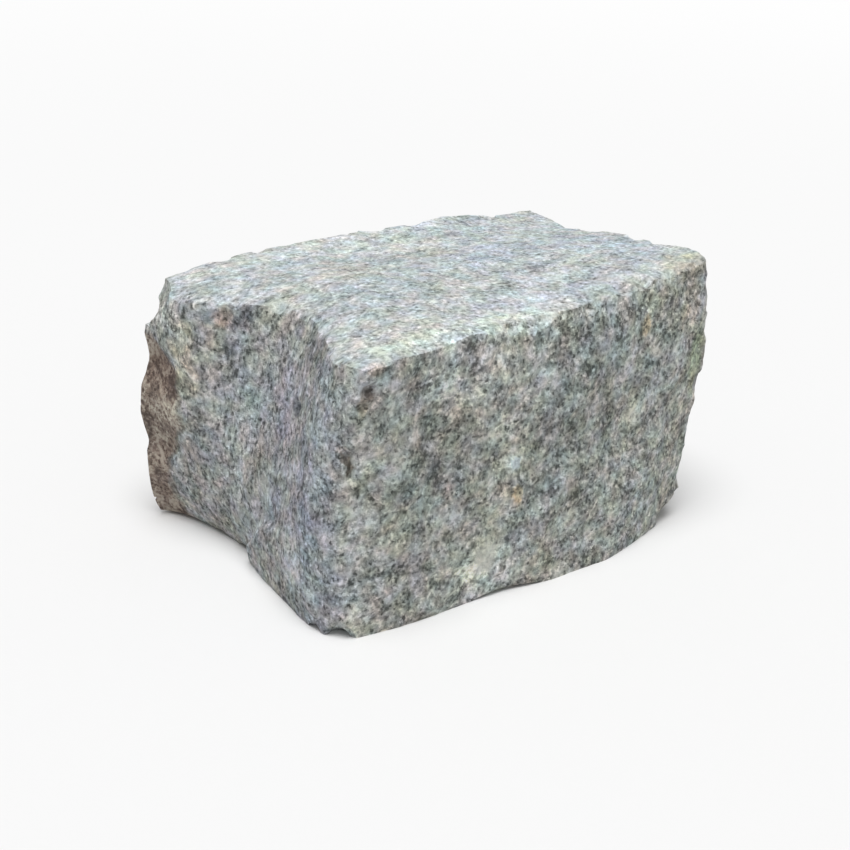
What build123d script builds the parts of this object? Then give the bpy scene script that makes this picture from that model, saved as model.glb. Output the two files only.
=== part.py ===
from build123d import *
import os
from math import sin

# Nominal block, before its faces stray from flat. The origin is at the middle of the bed face.
LENGTH = 200.0
WIDTH = 128.0
HEIGHT = 116.0

# How far corners and arrises may stray from the nominal block, and how far the split faces
# swell and ripple between their arrises
WANDER = 10.0
SWELL = 4.0
RIPPLE = 0.8

# How far the left face is set in, between its front strip and the weathered ridge at its back
HOLLOW = 16.0

# Spalls that hammer blows struck off the arrises
SPALL_SPAN = 40.0
SPALL_DEPTH = 3.0

# Shallow scars within the split faces
SHELL_SPAN = 60.0
SHELL_DEPTH = 2.0

LEFT, RIGHT = Vector(-1, 0, 0), Vector(1, 0, 0)
FRONT, BACK = Vector(0, -1, 0), Vector(0, 1, 0)
DOWN, UP = Vector(0, 0, -1), Vector(0, 0, 1)


def corner(side, end, level, stray):
    """A corner of the block: its place on the nominal box and its stray in shares of WANDER."""
    nominal = Vector(side.X * LENGTH / 2, end.Y * WIDTH / 2, HEIGHT if level is UP else 0)
    return nominal + Vector(*stray) * WANDER


def arris(start, end, way, strays, reach=WANDER):
    """Control points between two corners, which stray that way by shares of a reach."""
    spacing = 1 / (len(strays) + 1)
    inner = [start + (end - start) * (i * spacing) + way * (stray * reach)
             for i, stray in enumerate(strays, 1)]
    return [start, *inner, end]


def split_face(low, high, start, end, outward, swell, phase):
    """A patch between four arrises that swells outward and ripples, as split stone does."""
    across, up = len(low) - 1, len(start) - 1
    net = []
    for i in range(across + 1):
        u = i / across
        column = []
        for j in range(up + 1):
            v = j / up
            between = low[i] * (1 - v) + high[i] * v + start[j] * (1 - u) + end[j] * u
            corners = (low[0] * (1 - u) + low[-1] * u) * (1 - v) + (high[0] * (1 - u) + high[-1] * u) * v
            lift = 0
            if 0 < i < across and 0 < j < up:
                ripple = sin(1.3 * i + phase) + sin(1.7 * j + 2 * phase) + sin(i - 1.1 * j)
                lift = swell * SWELL + ripple * RIPPLE
            column.append(between - corners + outward * lift)
        net.append(column)
    return Face.make_bezier_surface(net)


def scar(place, outward, span, depth):
    """A ball that leaves a scar of this span and depth in the surface under it."""
    radius = (span * span / 4 + depth * depth) / (2 * depth)
    return Solid.make_sphere(radius).moved(Location(place + outward.normalized() * (radius - depth)))


# Corners
bed_front_left = corner(LEFT, FRONT, DOWN, (0.5, -0.1, 0))
bed_front_right = corner(RIGHT, FRONT, DOWN, (0, 0.3, 0))
bed_back_left = corner(LEFT, BACK, DOWN, (0.1, 0.5, 0))
bed_back_right = corner(RIGHT, BACK, DOWN, (0, 0.2, 0))
top_front_left = corner(LEFT, FRONT, UP, (0.3, -0.4, -0.2))
top_front_right = corner(RIGHT, FRONT, UP, (0, 0.5, 1.0))
top_back_left = corner(LEFT, BACK, UP, (-0.5, -0.1, -0.6))
top_back_right = corner(RIGHT, BACK, UP, (0.4, -0.5, -0.1))

# Arrises, from left to right, from front to back and from bed to top
bed_front = arris(bed_front_left, bed_front_right, FRONT,
                  (0.1, 0.8, 0.6, 0, -0.1, 1.4, 2.0, 1.3, 1.3, 0.4, -0.1))
bed_back = arris(bed_back_left, bed_back_right, BACK,
                 (-0.3, -0.4, 0.1, 0.5, 0.4, -0.1, -0.4, 0.2, 0.6, 0.3, 0.1))
bed_left = arris(bed_front_left, bed_back_left, RIGHT,
                 (-0.8, -0.3, -0.4, 0.3, -0.1, -0.3, 0.4, 1.4, 0.7, 0.6, 0.8), HOLLOW)
bed_right = arris(bed_front_right, bed_back_right, RIGHT,
                  (0.2, 0.4, 0.5, 0.2, -0.3, -0.2, 0.2, 0.5, 0.4, 0.1, 0.2))
top_front = arris(top_front_left, top_front_right, UP,
                  (0.35, 0.3, 0.15, -0.25, -0.3, -0.2, -0.45, -0.5, -0.25, -0.2, -0.3))
top_back = arris(top_back_left, top_back_right, UP,
                 (0.45, 0.6, 0.85, 0.4, 0.45, 0.6, 0.7, 0.7, 0.65, 0.25, 0.1))
top_left = arris(top_front_left, top_back_left, RIGHT + UP * 0.15,
                 (0, -0.7, 0.8, 1.6, 1.2, 0.5, 3.2, 0.3, -1.6, -0.4, 0), HOLLOW)
top_right = arris(top_front_right, top_back_right, UP,
                  (0, 0.15, 0, -0.1, 0.05, 0.2, -0.2, -0.6, -0.3, -0.2, -0.25))
front_left = arris(bed_front_left, top_front_left, LEFT + BACK,
                   (0.25, 0.45, 0.55, 0.5, 0.45, 0.4, 0.25))
front_right = arris(bed_front_right, top_front_right, RIGHT,
                    (-0.2, -0.3, -0.35, 0.2, 1.0, 0.5, -0.2))
back_left = arris(bed_back_left, top_back_left, LEFT,
                  (0.9, 0.7, 0.5, 1.3, 0.2, 0.8, 0.3))
back_right = arris(bed_back_right, top_back_right, RIGHT + BACK,
                   (0.2, 0.4, 0.1, -0.2, 0.3, 0.2, -0.1))

# The split block
top = split_face(top_front, top_back, top_left, top_right, UP, 0.3, 0.3)
front = split_face(bed_front, top_front, front_left, front_right, FRONT, 1, 1.1)
left = split_face(bed_left, top_left, front_left, back_left, LEFT, 0, 2.0)
right = split_face(bed_right, top_right, front_right, back_right, RIGHT, 1, 2.9)
back = split_face(bed_back, top_back, back_left, back_right, BACK, 1, 4.1)
bed = Face(Wire([Edge.make_bezier(*line) for line in (bed_front, bed_right, bed_back, bed_left)]))
stone = Solid(Shell([top, front, left, right, back, bed]))

cuts = []

# Spalls: arris, share along it, way the blow came from, then the shares of SPALL_SPAN and SPALL_DEPTH
spalls = [
    (back_left, 0.96, LEFT + UP * 0.3 + BACK * 0.2, 0.8, 1.5),
    (top_front, 0.14, UP + FRONT * 0.25, 1.3, 0.7),
    (top_front, 0.45, FRONT * 0.6 + UP, 1.0, 0.4),
    (top_front, 1.0, RIGHT + UP * 0.8 + FRONT * 0.5, 0.6, 1.0),
    (front_left, 0.72, FRONT * 0.6 + LEFT, 0.6, 0.4),
    (front_left, 0.0, LEFT + DOWN * 0.3 + FRONT * 0.6, 0.5, 0.8),
    (bed_front, 1.0, RIGHT + DOWN * 1.2 + FRONT * 0.8, 1.7, 4.0),
    (bed_front, 0.36, FRONT + DOWN, 0.8, 0.5),
    (top_back, 0.62, BACK + UP * 0.4, 1.2, 1.0),
    (top_back, 0.90, BACK + UP * 0.6, 0.8, 0.8),
    (top_right, 0.30, RIGHT + UP * 0.4, 1.0, 0.8),
    (top_right, 0.72, RIGHT + UP * 0.6, 0.9, 0.9),
    (back_right, 0.70, RIGHT * 0.5 + BACK, 1.1, 1.0),
    (bed_right, 0.45, RIGHT + DOWN * 0.7, 1.0, 0.9),
    (bed_right, 1.0, RIGHT + BACK + DOWN, 1.3, 2.4),
]
for line, share, outward, span, depth in spalls:
    place = Edge.make_bezier(*line).position_at(share)
    cuts.append(scar(place, outward, span * SPALL_SPAN, depth * SPALL_DEPTH))

# Shells: face, its outward side, shares across and up it, then the shares of SHELL_SPAN and SHELL_DEPTH
shells = [
    (front, FRONT, 0.20, 0.70, 1.0, 1.0),
    (front, FRONT, 0.60, 0.30, 1.1, 0.9),
    (front, FRONT, 0.80, 0.68, 1.0, 1.0),
    (right, RIGHT, 0.35, 0.60, 1.0, 1.1),
    (back, BACK, 0.25, 0.45, 1.1, 1.2),
    (back, BACK, 0.70, 0.62, 1.2, 1.1),
]
for face, outward, across, up, span, depth in shells:
    place = face.position_at(across, up)
    cuts.append(scar(place, outward, span * SHELL_SPAN, depth * SHELL_DEPTH))

for cut in cuts:
    stone = stone - cut

os.makedirs("parts", exist_ok=True)
export_step(stone, "parts/gneiss_paver.step")
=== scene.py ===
from math import cos, radians, sin

import bmesh
import bpy
import numpy as np
from mathutils import Matrix, Vector, kdtree


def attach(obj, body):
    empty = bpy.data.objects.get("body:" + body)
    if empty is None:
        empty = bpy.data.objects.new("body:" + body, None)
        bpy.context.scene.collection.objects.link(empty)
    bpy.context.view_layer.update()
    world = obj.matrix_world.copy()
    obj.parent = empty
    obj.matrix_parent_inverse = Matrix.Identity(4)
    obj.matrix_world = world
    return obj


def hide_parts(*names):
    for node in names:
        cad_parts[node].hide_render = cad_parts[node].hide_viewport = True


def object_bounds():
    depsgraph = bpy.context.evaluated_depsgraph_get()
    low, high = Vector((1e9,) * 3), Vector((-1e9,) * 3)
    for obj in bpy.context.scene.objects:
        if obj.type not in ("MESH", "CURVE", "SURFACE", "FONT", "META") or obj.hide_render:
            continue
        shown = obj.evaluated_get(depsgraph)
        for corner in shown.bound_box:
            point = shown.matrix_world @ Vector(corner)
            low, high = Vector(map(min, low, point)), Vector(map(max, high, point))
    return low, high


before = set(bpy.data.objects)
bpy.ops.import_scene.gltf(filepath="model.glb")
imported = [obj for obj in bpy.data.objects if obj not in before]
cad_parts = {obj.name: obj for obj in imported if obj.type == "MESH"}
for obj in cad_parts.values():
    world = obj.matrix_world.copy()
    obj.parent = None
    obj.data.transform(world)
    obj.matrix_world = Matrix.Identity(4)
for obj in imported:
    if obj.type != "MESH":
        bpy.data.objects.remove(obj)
cad_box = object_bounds()

# The stone's mesh: the distance between its points, and the depth of the grid they come from
CELL = 0.00124
GRID_DEPTH = 8

# Edges that fold by this much are arrises, which are followed in steps of this length
ARRIS_FOLD = radians(38)
ARRIS_STEP = 0.001

# From an arris inwards, the relief comes to its full height over this distance
INLAND = 0.007

# How far the relief may stand proud of the CAD solid and sink into it, in millimetres
PROUD = 1.4
SUNK = 3.2

# How far the stone may pass the CAD box, and the fold from which an edge of it is drawn sharp
MARGIN = 0.001
CREASE = radians(42)

# Chips along the arrises: how many, their radii, their depths in shares of the radius, and how far
# each leans away from the bisector of its arris
CHIPS = 190
CHIP_RADII = 0.0022, 0.0060
CHIP_DEPTHS = 0.08, 0.30
CHIP_LEAN = 0.28

# How far from the back left arris its foot is dulled, and how much is taken off it
DULL_REACH = 0.0035
DULL_DEPTH = 0.0009

# Factors and masks of a common integer hash
PRIMES = 73856093, 19349663, 83492791, 2654435761
MIXER = 0x45D9F3B
WORD = 0xFFFFFFFF
FRACTION = 0xFFFFFF


def hashed(cells, seed):
    """A repeatable number from 0 to 1 for each row of whole-number cell coordinates."""
    c = cells.astype(np.int64)
    h = (c[..., 0] * PRIMES[0]) ^ (c[..., 1] * PRIMES[1]) ^ (c[..., 2] * PRIMES[2]) ^ (seed * PRIMES[3])
    h = h & WORD
    for _ in range(2):
        h = ((h ^ (h >> 16)) * MIXER) & WORD
    return ((h ^ (h >> 16)) & FRACTION) / float(FRACTION)


def smooth_noise(points, size, seed):
    """Soft noise from -1 to 1 with lumps of this size."""
    p = points / size
    base = np.floor(p)
    f = p - base
    f = f * f * f * (f * (f * 6 - 15) + 10)
    total = np.zeros(len(p))
    for corner in np.ndindex(2, 2, 2):
        weight = np.ones(len(p))
        for axis in range(3):
            weight = weight * (f[:, axis] if corner[axis] else 1 - f[:, axis])
        total += weight * hashed(base + np.array(corner), seed)
    return total * 2 - 1


def rough_noise(points, size, octaves, seed):
    """Several layers of smooth noise, each half the size and half the height of the last."""
    total = np.zeros(len(points))
    height = 1.0
    for octave in range(octaves):
        total += height * smooth_noise(points + 7.3 * octave * size, size, seed + octave)
        size *= 0.5
        height *= 0.5
    return total


def flakes(points, size, bowl, tilt, level, seed):
    """Broken facets: the lowest of many tilted bowls, which meet in sharp ridges."""
    p = points / size
    base = np.floor(p)
    lowest = np.full(len(p), 1e9)
    for shift in np.ndindex(3, 3, 3):
        cell = base + np.array(shift) - 1
        seat = cell + np.stack([hashed(cell, seed + k) for k in range(3)], 1)
        away = p - seat
        lean = np.stack([hashed(cell, seed + 3 + k) for k in range(3)], 1) * 2 - 1
        height = bowl * (away ** 2).sum(1) + tilt * (away * lean).sum(1) + level * hashed(cell, seed + 6)
        lowest = np.minimum(lowest, height)
    return lowest


def rise(values, start, end):
    """A smooth step from 0 to 1 between two levels."""
    share = np.clip((values - start) / (end - start), 0, 1)
    return share * share * (3 - 2 * share)


def sharp_arrises(mesh):
    """Points along a mesh's sharp arrises, each followed by the outward bisector there."""
    shape = bmesh.new()
    shape.from_mesh(mesh)
    bmesh.ops.remove_doubles(shape, verts=shape.verts, dist=1e-5)
    shape.normal_update()
    rows = []
    for line in shape.edges:
        if len(line.link_faces) == 2 and line.calc_face_angle(0) > ARRIS_FOLD:
            start, end = line.verts[0].co, line.verts[1].co
            bisector = (line.link_faces[0].normal + line.link_faces[1].normal).normalized()
            steps = max(1, int((end - start).length / ARRIS_STEP))
            for k in range(steps):
                rows.append([*start.lerp(end, (k + 0.5) / steps), *bisector])
    shape.free()
    return np.array(rows)


def rows_of(points, key):
    """One property of a mesh's points, as an array with a row for each."""
    values = np.zeros(len(points) * 3)
    points.foreach_get(key, values)
    return values.reshape(-1, 3)


# The stone starts as an even mesh over the CAD solid
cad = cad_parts["gneiss_paver"]
stone = bpy.data.objects.new("split_stone", cad.data.copy())
bpy.context.scene.collection.objects.link(stone)
stone.data.materials.clear()
arris = sharp_arrises(stone.data)

remesh = stone.modifiers.new("even_mesh", "REMESH")
remesh.mode = "SHARP"
remesh.octree_depth = GRID_DEPTH
remesh.scale = max(cad_box[1] - cad_box[0]) / (CELL * 2 ** GRID_DEPTH)
remesh.sharpness = 1.0
depsgraph = bpy.context.evaluated_depsgraph_get()
even = bpy.data.meshes.new_from_object(stone.evaluated_get(depsgraph))
stone.modifiers.clear()
stone.data = even

co = rows_of(even.vertices, "co")
normal = rows_of(even.vertices, "normal")
count = len(co)
links = np.zeros(len(even.edges) * 2, np.int64)
even.edges.foreach_get("vertices", links)
links = links.reshape(-1, 2)
valence = np.maximum(np.bincount(links.ravel(), minlength=count), 1).astype(float)


def blurred(values, rounds):
    """Values averaged with their neighbours on the mesh."""
    result = values.copy()
    for _ in range(rounds):
        total = np.zeros_like(result)
        for k in range(result.shape[1]):
            total[:, k] = (np.bincount(links[:, 0], result[links[:, 1], k], count)
                           + np.bincount(links[:, 1], result[links[:, 0], k], count))
        result = 0.5 * result + 0.5 * total / valence[:, None]
    return result


soft_normal = blurred(normal, 3)
out = soft_normal / np.maximum(np.linalg.norm(soft_normal, axis=1), 1e-6)[:, None]

# Millimetres, with the foliation squeezed across its planes, which run along the front face
mm = co * 1000
waves = [rough_noise(mm + offset, size=26, octaves=2, seed=seed)
         for offset, seed in ((31, 5), (57, 9), (83, 13))]
bent = mm + np.stack(waves, 1) * 2.2
folia = bent * np.array([1.0, 1.7, 1.0])

# Shares of the faces at each point: top, bed, the sides between, the left face, its weathered ridge
# at the back, and the foot of that ridge
up = np.clip(normal[:, 2], 0, 1) ** 2
down = np.clip(-normal[:, 2], 0, 1) ** 2
side = np.clip(1 - up - down, 0, 1)
left_side = rise(-soft_normal[:, 0], 0.45, 0.8)
skin = rise(mm[:, 1], 40, 48) * rise(-mm[:, 0], 84, 90) * side
tip = rise(mm[:, 1], 48, 58) * rise(-mm[:, 2], -18, -8)

# The relief calms down towards the arrises, which stay crisp
nearest = kdtree.KDTree(len(arris))
for k, point in enumerate(arris[:, :3]):
    nearest.insert(point, k)
nearest.balance()
inland = rise(np.array([nearest.find(point)[2] for point in co]), 0.0, INLAND)

# Broken facets and grit on the sides, and low slabs with a finer roughness on the top
broad = flakes(folia, size=15, bowl=1.1, tilt=0.9, level=0.5, seed=20) - 0.50
small = flakes(folia + 90, size=6.5, bowl=1.0, tilt=0.9, level=0.5, seed=40) - 0.50
breaks = 1.15 * broad * (1 - 0.55 * left_side) + 0.55 * small
grit = 0.34 * rough_noise(folia, size=3.6, octaves=2, seed=60)
relief = side * (1 - 0.6 * skin) * (breaks * (0.35 + 0.65 * inland) + grit)
slabs = flakes(folia * 0.8, size=20, bowl=0.9, tilt=0.7, level=0.4, seed=80) - 0.45
relief += up * (0.40 * slabs * inland + 0.28 * rough_noise(folia, size=6.0, octaves=3, seed=90))
relief -= side * np.average(relief, weights=side) + up * np.average(relief, weights=up)

# The foot of the left face stands proud of a ledge, which ends in a notch in the bed arris
curve = np.hypot((bent[:, 1] + 34) / 44, bent[:, 2] / 33) * 38 - 38
near_bed = rise(-mm[:, 2], -14, -6)
over = rise(curve / (2.2 - 1.3 * near_bed) + 0.25, -0.9, 0.9)
lip = (1 - over) * 0.5 * np.exp(-(curve / 14) ** 2)
hollow = over * (2.4 + 1.2 * near_bed) * np.exp(-(curve / 13) ** 2)
ledge = rise(-mm[:, 0], 79, 87) * rise(mm[:, 1], -30, -12) * rise(-mm[:, 1], -44, -26) * (lip - hollow)

# The weathered ridge bulges and draws in again down its length: height, reach and lift in millimetres
BULGES = [(101, 5, 1.6), (92, 5, 2.4), (77, 6, -1.7), (58, 7, 2.4), (38, 6, -2.0), (20, 6, 0.6)]
for level, reach, bulge in BULGES:
    relief += skin * bulge * np.exp(-((mm[:, 2] - level) / reach) ** 2)

# Pocks where a crystal has dropped out of the left face, and crevices in the front left arris:
# centre, radius and depth in millimetres
POCKS = [
    ((-94, -24, 83), 3.0, 2.2),
    ((-100, -52, 93), 2.4, 1.0),
    ((-92, 4, 60), 2.4, 1.2),
    ((-88, 14, 96), 3.2, 1.2),
    ((-94.5, -66.5, 105), 3.0, 2.4),
    ((-97, -66, 99), 2.6, 1.6),
    ((-99, -62, 78), 3.6, 2.6),
    ((-97, -63, 71), 2.6, 1.6),
    ((-98, -62, 50), 3.0, 1.4),
]
for centre, radius, depth in POCKS:
    relief -= depth * np.exp(-(((mm - centre) ** 2).sum(1) / radius ** 2) ** 2)

lift = np.clip(relief, -SUNK, PROUD) * (1 - down * 0.85) * (1 - 0.8 * tip)
co = co + out * (lift * 0.001)[:, None]
co[:, 0] -= ledge * 0.001

# Notches in the bed arris, under the front corner and along the foot of the left face:
# centre, radius and height in millimetres
NOTCHES = [
    ((-103, -51), 4.4, 3.4),
    ((-96.8, -60.0), 4.8, 4.6),
    ((-88, 16), 9.0, 3.0),
    ((-86.5, 36.9), 5.0, 1.9),
    ((-89.7, 54.3), 5.0, 1.6),
]
for centre, radius, height in NOTCHES:
    away = np.hypot(mm[:, 0] - centre[0], mm[:, 1] - centre[1]) / radius
    arch = height * 0.001 * (1 - away ** 2)
    co[:, 2] = np.where(away < 1, np.maximum(co[:, 2], arch), co[:, 2])

# Small chips along the arrises, each cut nearly flat across the bisector. Most are on the front and
# left arrises, and none on the bed's or at the foot of the back ones.
chance = np.random.default_rng(7)
often = np.where((arris[:, 1] < -0.045) | (arris[:, 0] < -0.075) & (arris[:, 1] < 0.04), 1.0, 0.3)
for pick in chance.choice(len(arris), CHIPS, replace=False, p=often / often.sum()):
    centre, bisector = arris[pick, :3], arris[pick, 3:]
    if centre[2] < 0.004 or centre[2] < 0.014 and centre[1] > 0.05:
        continue
    lean = bisector + chance.normal(0, CHIP_LEAN, 3)
    lean /= np.linalg.norm(lean)
    reach = chance.uniform(*CHIP_RADII)
    depth = reach * chance.uniform(*CHIP_DEPTHS)
    near = np.flatnonzero(((co - centre) ** 2).sum(1) < (reach * 1.6) ** 2)
    away = co[near] - centre
    across = away @ lean
    spread = np.linalg.norm(away - across[:, None] * lean, axis=1)
    above = across - (-depth + 0.9 * spread ** 2 / reach * (depth / reach))
    above = np.clip(above, 0, None) * np.clip((reach * 1.5 - spread) / (reach * 0.3), 0, 1)
    co[near] = co[near] - lean * above[:, None]

# The thin foot of the back left arris is dulled
for point in arris[(arris[:, 0] < -0.09) & (arris[:, 1] > 0.05) & (arris[:, 2] < 0.036)][::2]:
    near = np.flatnonzero(((co - point[:3]) ** 2).sum(1) < DULL_REACH ** 2)
    above = np.clip((co[near] - point[:3]) @ point[3:] + DULL_DEPTH, 0, None)
    co[near] = co[near] - point[3:] * above[:, None]

# Nothing passes the CAD box by more than the margin, or the bed at all
low, high = cad_box
for k, margin_below in enumerate((MARGIN, MARGIN, 0)):
    co[:, k] = np.clip(co[:, k], low[k] - margin_below, high[k] + MARGIN)
even.vertices.foreach_set("co", co.ravel())
even.update()
even.shade_smooth()
even.set_sharp_from_angle(angle=CREASE)

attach(stone, "root")
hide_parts("gneiss_paver")


class Graph:
    """Short ways to add nodes to the node tree of a material or a world, and to link them."""

    def __init__(self, owner):
        owner.use_nodes = True
        self.tree = owner.node_tree
        self.tree.nodes.clear()

    def put(self, socket, value):
        if isinstance(value, bpy.types.NodeSocket):
            self.tree.links.new(value, socket)
        elif isinstance(value, (tuple, list)) and len(value) == 3 and socket.type == "RGBA":
            socket.default_value = (*value, 1)
        else:
            socket.default_value = value

    def node(self, kind, **inputs):
        node = self.tree.nodes.new(kind)
        for key, value in inputs.items():
            self.put(node.inputs[key.replace("_", " ")], value)
        return node

    def math(self, operation, *values):
        node = self.tree.nodes.new("ShaderNodeMath")
        node.operation = operation
        for k, value in enumerate(values):
            self.put(node.inputs[k], value)
        return node.outputs[0]

    def vector(self, operation, first, second=None):
        """A vector operation. The second value is another vector, or the factor of a scaling."""
        node = self.tree.nodes.new("ShaderNodeVectorMath")
        node.operation = operation
        self.put(node.inputs[0], first)
        if second is not None:
            self.put(node.inputs["Scale"] if operation == "SCALE" else node.inputs[1], second)
        return node.outputs["Value" if operation == "LENGTH" else "Vector"]

    def split(self, vector):
        """The three coordinates of a vector."""
        return self.node("ShaderNodeSeparateXYZ", Vector=vector).outputs[:]

    def noise(self, vector, size, detail, roughness, output="Fac"):
        """Noise with lumps of this size in metres."""
        node = self.node("ShaderNodeTexNoise", Vector=vector, Scale=1 / size,
                         Detail=detail, Roughness=roughness)
        return node.outputs[output]

    def grains(self, vector, size):
        """The outputs of a texture of cells of this size in metres."""
        return self.node("ShaderNodeTexVoronoi", Vector=vector, Scale=1 / size).outputs

    def each(self, vector, size):
        """A random number for each grain of this size in metres."""
        return self.node("ShaderNodeSeparateColor", Color=self.grains(vector, size)["Color"]).outputs[0]

    def step(self, value, start, end):
        """A smooth step of a value from 0 to 1 between two levels."""
        node = self.tree.nodes.new("ShaderNodeMapRange")
        node.interpolation_type = "SMOOTHSTEP"
        for k, item in enumerate((value, start, end)):
            self.put(node.inputs[k], item)
        return node.outputs[0]

    def ramp(self, value, stops):
        node = self.tree.nodes.new("ShaderNodeValToRGB")
        points = node.color_ramp.elements
        while len(points) < len(stops):
            points.new(0.5)
        for point, (place, colour) in zip(points, stops):
            point.position = place
            point.color = (*colour, 1)
        self.put(node.inputs[0], value)
        return node.outputs[0]

    def blend(self, share, a, b, mode="MIX"):
        node = self.tree.nodes.new("ShaderNodeMix")
        node.data_type = "RGBA"
        node.blend_type = mode
        for k, value in ((0, share), (6, a), (7, b)):
            self.put(node.inputs[k], value)
        return node.outputs[2]

    def tint(self, share, colour, tint):
        """A colour multiplied by a tint, to this share."""
        return self.blend(share, colour, tint, "MULTIPLY")

    def either(self, share, first, second):
        """The first shader, or the second to this share."""
        node = self.tree.nodes.new("ShaderNodeMixShader")
        for k, value in enumerate((share, first, second)):
            self.put(node.inputs[k], value)
        return node.outputs[0]

    def seen(self):
        """1 for the camera and for what gloss and glass show, and 0 for the light on the object."""
        rays = self.node("ShaderNodeLightPath").outputs
        glossy = self.math("MAXIMUM", rays["Is Glossy Ray"], rays["Is Transmission Ray"])
        return self.math("MAXIMUM", rays["Is Camera Ray"], glossy)


gneiss = bpy.data.materials.new("gneiss")
g = Graph(gneiss)
place = g.node("ShaderNodeTexCoord").outputs["Object"]
facing = g.split(g.node("ShaderNodeNewGeometry").outputs["True Normal"])
facing_up = g.math("MULTIPLY", g.step(facing[2], 0.46, 0.68), g.step(g.split(place)[2], 0.080, 0.100))
facing_left = g.step(facing[0], -0.30, -0.75)


def swayed(vector, size, detail, roughness, amount):
    """A place moved about by noise with lumps of this size, by up to half this amount each way."""
    sway = g.vector("SUBTRACT", g.noise(place, size, detail, roughness, "Color"), (0.5, 0.5, 0.5))
    return g.vector("ADD", vector, g.vector("SCALE", sway, amount))


def jostled(vector, size, amount):
    """A place moved about by fine noise, so that the borders of its grains are ragged."""
    return g.vector("ADD", vector, g.vector("SCALE", g.noise(place, size, 1, 0.5, "Color"), amount))


def shifted(vector, amount):
    """A place moved well away, so that two noises of one size don't agree."""
    return g.vector("ADD", vector, (amount, amount * 0.7, amount * 1.3))


def squeezed(vector, factors):
    return g.vector("MULTIPLY", vector, factors)


def centred(value, amount):
    return g.math("MULTIPLY", g.math("SUBTRACT", value, 0.5), amount)


def within(vector, centre, half, outer, inner):
    """A share that rises to 1 inside an ellipsoid, with its centre and half sizes in millimetres."""
    away = g.vector("SUBTRACT", vector, tuple(v / 1000 for v in centre))
    away = g.vector("DIVIDE", away, tuple(v / 1000 for v in half))
    return g.step(g.vector("LENGTH", away), outer, inner)


def gain(front, top, left):
    """A strength for each of the three faces in view."""
    more = g.math("ADD", front, g.math("MULTIPLY", facing_up, top - front))
    return g.math("ADD", more, g.math("MULTIPLY", facing_left, left - front))


# The layers of the gneiss lie along the front face and wave a little
folded = swayed(place, 0.022, 2, 0.5, 0.005)
layered = squeezed(folded, (1.0, 1.12, 1.0))
drawn = squeezed(folded, (1.0, 1.20, 0.95))

# Pale and dark minerals, from the broadest to the finest: a mottling, layers, thin dark seams,
# dark mica and white feldspar, short dark dashes, single crystals and the specks between them
mottle = g.noise(layered, 0.011, 1, 0.9)
layer = g.math("SUBTRACT", g.noise(squeezed(folded, (0.6, 2.2, 0.7)), 0.018, 1, 0.6), 0.5)
seam = g.noise(squeezed(folded, (0.9, 3.4, 0.8)), 0.012, 1, 0.5)
seam = g.step(g.math("ABSOLUTE", g.math("SUBTRACT", seam, 0.5)), 0.075, 0.015)
seam = g.math("MULTIPLY", seam, g.step(g.noise(shifted(place, 2.3), 0.014, 1, 0.5), 0.48, 0.62))
flake = g.noise(shifted(drawn, 0.31), 0.0024, 2, 0.6)
mica = g.step(g.math("ADD", flake, g.math("MULTIPLY", layer, -0.18)), 0.55, 0.62)
spar = g.noise(shifted(drawn, 0.57), 0.0028, 2, 0.6)
feldspar = g.step(g.math("ADD", spar, g.math("MULTIPLY", layer, 0.18)), 0.54, 0.62)
dash = g.step(g.noise(squeezed(shifted(folded, 2.71), (1.0, 1.5, 0.8)), 0.0038, 1, 0.5), 0.66, 0.73)
speckle = g.noise(shifted(drawn, 0.13), 0.0027, 2, 0.9)
crystal = g.each(jostled(folded, 0.0012, 0.0016), 0.0018)
ragged = jostled(drawn, 0.0010, 0.0014)
network = g.grains(ragged, 0.0021)["Distance"]
speck = g.each(ragged, 0.00115)

# Each makes the stone paler or darker, by its own strength
grain = g.math("ADD", centred(speckle, 0.72), centred(crystal, 0.24))
for value, strength in (
    (g.step(speck, 0.12, 0.08), -0.26),
    (g.step(speck, 0.89, 0.93), 0.29),
    (g.math("SUBTRACT", network, 0.495), 0.58),
    (mica, gain(-0.07, -0.24, -0.24)),
    (feldspar, gain(0.27, 0.22, 0.20)),
    (dash, gain(-0.06, -0.10, -0.26)),
):
    grain = g.math("ADD", grain, g.math("MULTIPLY", value, strength))
pale = centred(mottle, gain(1.02, 0.42, 0.72))
pale = g.math("SUBTRACT", pale, g.math("MULTIPLY", seam, gain(0.0, 0.12, 0.18)))
pale = g.math("ADD", pale, g.math("MULTIPLY", layer, gain(0.09, 0.12, 0.14)))
pale = g.math("ADD", pale, g.math("MULTIPLY", grain, gain(0.88, 0.56, 0.80)))
pale = g.math("ADD", pale, gain(0.435, 0.495, 0.49))
colour = g.ramp(pale, [
    (0.06, (0.085, 0.09, 0.085)),
    (0.30, (0.26, 0.27, 0.26)),
    (0.50, (0.43, 0.44, 0.425)),
    (0.70, (0.61, 0.62, 0.60)),
    (0.94, (0.84, 0.84, 0.82)),
])

# Tints are broader than the crystals: bluish quartz, ochre and pink feldspar, greenish mica
WHITE = (1.0, 1.0, 1.0)
TINTS = [
    (0.83, 0.0065, [(0.32, (0.95, 0.995, 1.06)), (0.5, WHITE), (0.68, (1.045, 1.0, 0.945))]),
    (1.21, 0.030, [(0.32, (0.965, 1.0, 1.045)), (0.5, WHITE), (0.68, (1.03, 1.0, 0.95))]),
    (1.67, 0.0085, [(0.35, (1.03, 0.985, 1.01)), (0.65, (0.945, 1.02, 0.96))]),
]
for shift, size, stops in TINTS:
    colour = g.tint(1.0, colour, g.ramp(g.noise(shifted(folded, shift), size, 1, 0.5), stops))
# The top face is tinted paler and bluer: partly its own paler, quartz-rich tone, partly a painted highlight
# where the light falls on the top
colour = g.tint(facing_up, colour, (1.165, 1.20, 1.265))
colour = g.tint(facing_left, colour, (0.957, 0.957, 0.992))
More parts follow.
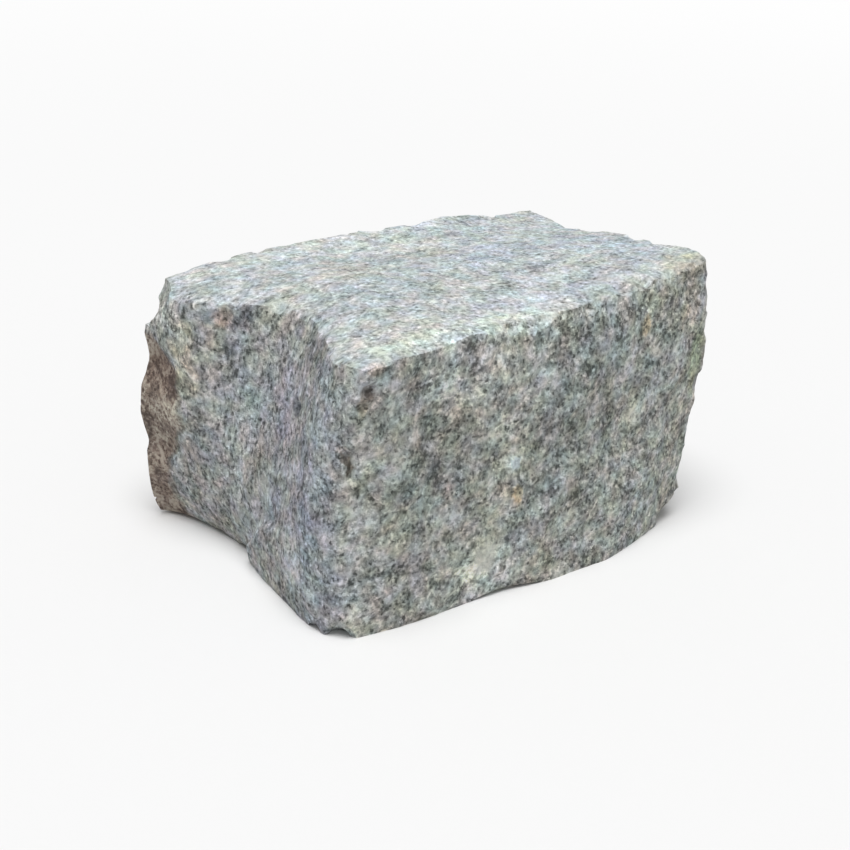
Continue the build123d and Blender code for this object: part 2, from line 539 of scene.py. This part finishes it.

# Stains, pale and dark lenses, single large crystals, painted shade under the top left arris and in pocks and
# crevices, and painted light at the foot of the left face: centre and half sizes in millimetres, tint
MARKS = [
    # Left face
    ((-97, -30, 60), (14, 28, 85), (0.92, 0.92, 0.965)),
    # Paler towards the foot: painted light that fills the shade near the floor
    ((-97, 24, 26), (14, 26, 20), (1.06, 1.03, 1.02)),
    ((-109, 48, 101), (6, 11, 8), (1.64, 1.65, 1.62)),
    ((-104, -52, 65), (5, 8, 32), (1.05, 1.04, 1.06)),
    # Paler at the foot of the left face: partly its own paler, greenish tone, partly painted light that fills
    # the shade near the floor
    ((-104, -42, 28), (8, 14, 14), (1.07, 1.10, 1.07)),
    ((-103, -36, 22), (9, 20, 18), (1.08, 1.10, 1.08)),
    ((-107, 38, 80), (9, 7, 22), (1.36, 1.29, 1.15)),
    ((-97, 18, 58), (14, 16, 22), (1.09, 1.10, 1.11)),
    ((-100, 24, 97), (8, 6, 9), (1.05, 1.0, 0.93)),
    ((-93, 7, 72), (9, 6, 9), (0.97, 1.02, 0.96)),
    ((-93, -10, 85), (10, 16, 26), (0.94, 0.92, 0.98)),
    ((-104, -48, 30), (14, 24, 34), (0.98, 0.98, 1.03)),
    # Painted shade on the left face just under the top arris
    ((-86, -20, 107), (6, 15, 4.5), (0.82, 0.82, 0.84)),
    ((-99, 22, 107), (5, 5, 6), (1.12, 0.98, 0.90)),
    ((-94, 14, 106), (4, 6, 4), (0.74, 0.75, 0.80)),
    # Painted shade in the pocks at these two centres, where the relief sinks
    ((-93, -22, 82.5), (6, 2.5, 2.5), (0.38, 0.38, 0.40)),
    ((-100, -52, 93), (5, 1.8, 2.4), (0.50, 0.50, 0.54)),
    ((-101, -43, 88), (5, 1.5, 2.2), (0.50, 0.50, 0.52)),
    ((-99, -45, 79), (5, 2.0, 1.8), (0.46, 0.46, 0.48)),
    ((-97, 20, 95), (5, 3.6, 4), (0.62, 0.64, 0.68)),
    ((-102, 28, 105), (4, 3, 3), (0.60, 0.64, 0.70)),
    ((-88, -32, 112), (3, 3.4, 4), (0.58, 0.58, 0.62)),
    ((-84, -10, 109), (4, 3, 5), (0.72, 0.72, 0.76)),
    # Front left arris, with its crevices and the painted shade in them
    # Painted shade in a crevice, brownish where the stone is brown
    ((-99, -62, 78), (2.6, 6, 4.4), (0.42, 0.37, 0.34)),
    ((-92, -64, 73), (4.5, 6, 5), (1.22, 1.24, 1.20)),
    ((-100, -60, 81), (2, 5, 2), (1.5, 1.35, 1.3)),
    # Painted shade in a crevice, brownish where the stone is brown
    ((-97.5, -63, 73), (2, 5, 3), (0.48, 0.42, 0.38)),
    # Painted shade in a crevice under the top arris
    ((-92.6, -66, 104), (1.6, 5, 4), (0.34, 0.32, 0.30)),
    ((-95.5, -66, 99), (2.4, 5, 5), (0.72, 0.67, 0.60)),
    ((-96, -56, 111), (3.2, 4.4, 3), (0.58, 0.54, 0.50)),
    ((-92, -68, 114), (5, 4, 3), (1.35, 1.20, 1.14)),
    # Front face
    ((-50, -67, 60), (58, 9, 48), (0.98, 0.975, 0.94)),
    ((20, -69, 66), (34, 10, 42), (0.885, 0.89, 0.885)),
    ((10, -71, 40), (20, 9, 16), (1.04, 1.05, 1.06)),
    ((66, -66, 72), (20, 9, 14), (0.93, 0.94, 0.92)),
    ((-45, -67, 101), (25, 9, 14), (1.29, 1.29, 1.32)),
    ((-44, -67, 66), (16, 9, 20), (0.88, 0.88, 0.88)),
    ((-22, -68, 74), (9, 9, 34), (1.10, 1.10, 1.10)),
    ((55, -67, 36), (34, 12, 24), (0.97, 0.98, 0.96)),
    ((-80, -66, 95), (14, 8, 14), (0.96, 0.95, 0.94)),
    ((-76, -66, 70), (13, 9, 14), (0.84, 0.84, 0.85)),
    ((-76, -67, 22), (14, 10, 18), (0.95, 0.94, 0.97)),
    ((91, -60, 14), (13, 12, 30), (1.04, 1.02, 0.97)),
    ((-30, -69, 15), (17, 13, 11), (1.62, 1.60, 1.55)),
    ((-42, -69, 34), (24, 10, 16), (0.92, 0.92, 0.93)),
    ((60, -64, 104), (26, 10, 14), (1.10, 1.12, 1.08)),
    ((10, -66, 100), (24, 10, 14), (1.08, 1.08, 1.08)),
    ((88, -62, 104), (7, 8, 16), (1.24, 1.14, 1.02)),
    ((97, -61, 78), (6, 6, 18), (0.90, 0.98, 0.84)),
    ((-17, -68, 58), (4, 4, 4), (1.40, 1.52, 1.56)),
    ((-15, -69, 44), (3, 4, 5), (1.22, 1.03, 0.78)),
    ((-51, -67, 54), (4, 4, 4), (1.26, 1.10, 1.05)),
    ((57, -65, 103), (4, 5, 5), (1.22, 1.0, 0.84)),
    # Top
    ((60, -10, 121), (55, 36, 12), (1.02, 1.04, 1.08)),
    ((0, 52, 121), (70, 16, 12), (1.07, 1.09, 1.09)),
    ((24, 27, 121), (36, 10, 12), (1.05, 1.08, 1.08)),
    ((-36, -61, 117.5), (62, 8, 7), (1.21, 1.25, 1.20)),
    ((-40, -45, 118), (40, 10, 10), (1.05, 1.06, 1.10)),
    ((25, -42, 118), (30, 10, 8), (1.10, 1.10, 1.12)),
    ((88, -57, 124), (16, 11, 8), (0.97, 0.90, 0.75)),
    ((39, -20, 120), (12, 3, 5), (0.78, 0.80, 0.80)),
    ((-73, -57, 118), (24, 11, 7), (1.10, 1.10, 1.10)),
    ((9, -54, 118), (16, 8, 6), (1.10, 1.10, 1.10)),
]

# Marks whose half sizes are all under this many millimetres have a finer border
SMALL_MARK = 5.5
wobble = swayed(place, 0.007, 3, 0.6, 0.012)
close_wobble = swayed(place, 0.0022, 2, 0.6, 0.0036)
for centre, half, tint in MARKS:
    border = close_wobble if max(half) < SMALL_MARK else wobble
    colour = g.tint(within(border, centre, half, 1.25, 0.55), colour, tint)

# A lens of one pale mineral and a large bluish crystal, which have a plain colour of their own
PLAIN = [
    ((-29.5, -69, 19.5), (5.6, 8, 7.6), (0.70, 0.715, 0.645)),
    ((-17, -68, 58.5), (2.6, 6, 2.6), (0.62, 0.71, 0.77)),
]
for centre, half, plain in PLAIN:
    share = within(close_wobble, centre, half, 1.2, 0.75)
    colour = g.blend(g.math("MULTIPLY", share, 0.65), colour, plain)

# Where the natural skin lies on the ridge at the back of the left face: its front border draws back
# towards the foot and towards the shoulder, and it ends raggedly a little way round the back
skin_x, skin_y, skin_z = g.split(swayed(place, 0.012, 4, 0.62, 0.011))
to_foot = g.math("MAXIMUM", g.math("SUBTRACT", 0.054, g.math("MAXIMUM", skin_z, 0.030)), 0.0)
to_shoulder = g.math("MAXIMUM", g.math("SUBTRACT", skin_z, 0.077), 0.0)
front_border = g.math("SUBTRACT", skin_y, g.math("MULTIPLY", to_foot, 0.58))
front_border = g.math("SUBTRACT", front_border, g.math("MULTIPLY", to_shoulder, 1.3))
ridge = g.math("ADD", skin_x, centred(g.noise(shifted(place, 4.3), 0.022, 3, 0.6), 0.045))
ridge = g.math("ADD", ridge, g.math("MULTIPLY", g.math("SUBTRACT", skin_z, 0.05), 0.10))
ridge = g.math("MULTIPLY", g.step(ridge, -0.087, -0.090), g.step(skin_z, 0.092, 0.087))
inside = g.math("MULTIPLY", g.step(front_border, 0.041, 0.045), ridge)
rim = g.math("ABSOLUTE", g.math("SUBTRACT", front_border, 0.0425))
rim = g.math("MULTIPLY", g.step(rim, 0.0016, 0.0005), ridge)

# The skin is brown with rust and weathered dull, darker in one place and with pale grains in another
rust = g.ramp(g.math("ADD", centred(pale, 0.8), g.noise(shifted(place, 3.1), 0.010, 4, 0.65)), [
    (0.26, (0.10, 0.069, 0.055)),
    (0.50, (0.285, 0.218, 0.176)),
    (0.76, (0.54, 0.48, 0.40)),
])
dark = within(wobble, (-108, 55, 73), (20, 14, 14), 1.2, 0.5)
rust = g.tint(dark, rust, (0.74, 0.65, 0.61))
bare = g.math("MULTIPLY", within(wobble, (-107, 50, 61), (20, 8, 7), 1.3, 0.4), g.step(crystal, 0.35, 0.55))
rust = g.tint(g.math("MULTIPLY", bare, 0.8), rust, (1.55, 1.62, 1.62))
upper = g.tint(1.0, rust, (1.09, 1.12, 1.12))
lower = g.tint(1.0, rust, (0.95, 0.92, 0.90))
rust = g.blend(g.step(skin_z, 0.046, 0.034), upper, lower)
colour = g.blend(g.math("MULTIPLY", inside, 0.90), colour, rust)
colour = g.tint(g.math("MULTIPLY", rim, 0.8), colour, (0.62, 0.60, 0.55))

# A dull surface with a roughness under the size of a grain, and mica a little lower than the rest
pits = g.math("SUBTRACT", g.noise(layered, 0.0034, 4, 0.72), g.math("MULTIPLY", mica, 0.12))
bump = g.node("ShaderNodeBump", Strength=0.9, Distance=0.0016, Height=pits)
surface = g.node("ShaderNodeBsdfPrincipled", Base_Color=colour, Roughness=0.78, Specular_IOR_Level=0.35,
                 Normal=bump.outputs[0])
g.node("ShaderNodeOutputMaterial", Surface=surface.outputs[0])
stone.data.materials.append(gneiss)

# The floor, pale where it is seen, which turns as white as the backdrop away from the stone
FLOOR_RADIUS = 4.0
scene = bpy.context.scene
scene.view_settings.view_transform = "Standard"
bpy.ops.mesh.primitive_circle_add(vertices=96, radius=FLOOR_RADIUS, fill_type="NGON", location=(0, 0, low[2]))
floor = bpy.context.object
floor.name = "floor"
floor_material = bpy.data.materials.new("floor")
f = Graph(floor_material)
seen = f.seen()
matte = f.node("ShaderNodeBsdfDiffuse", Color=f.blend(seen, (0.60, 0.60, 0.60), (0.84, 0.84, 0.84)))
far = f.step(f.vector("LENGTH", f.node("ShaderNodeTexCoord").outputs["Object"]), 0.5, 2.2)
white = f.node("ShaderNodeEmission").outputs[0]
f.node("ShaderNodeOutputMaterial", Surface=f.either(f.math("MULTIPLY", far, seen), matte.outputs[0], white))
floor.data.materials.append(floor_material)

# The world lights the stone softly and is white where it is seen
scene.world = bpy.data.worlds.new("studio")
w = Graph(scene.world)
soft, plain_white = [w.node("ShaderNodeBackground", Color=WHITE, Strength=strength).outputs[0]
                     for strength in (0.34, 1.0)]
w.node("ShaderNodeOutputWorld", Surface=w.either(w.seen(), soft, plain_white))

# A broad sun stands high, a little to the front and left
lamp = bpy.data.lights.new("key", "SUN")
lamp.energy = 2.6
lamp.angle = radians(35)
key = bpy.data.objects.new("key", lamp)
scene.collection.objects.link(key)
key.rotation_euler = Vector((-0.22, -0.17, 1.0)).to_track_quat("Z", "Y").to_euler()

# The camera that was fitted to the photograph
AZIMUTH, ELEVATION, ROLL = radians(-41.5), radians(23.3), radians(4.1)
EYE = (-0.4347, -0.4837, 0.3254)
back = Vector((sin(AZIMUTH) * cos(ELEVATION), -cos(AZIMUTH) * cos(ELEVATION), sin(ELEVATION)))
level = Vector((cos(AZIMUTH), sin(AZIMUTH), 0))
upward = back.cross(level)
right = level * cos(ROLL) + upward * sin(ROLL)
top = upward * cos(ROLL) - level * sin(ROLL)
lens = bpy.data.cameras.new("camera")
lens.lens = 67.76
lens.sensor_width = 36
lens.clip_end = 20
camera = bpy.data.objects.new("camera", lens)
scene.collection.objects.link(camera)
camera.matrix_world = Matrix.Translation(EYE) @ Matrix((right, top, back)).transposed().to_4x4()
scene.camera = camera
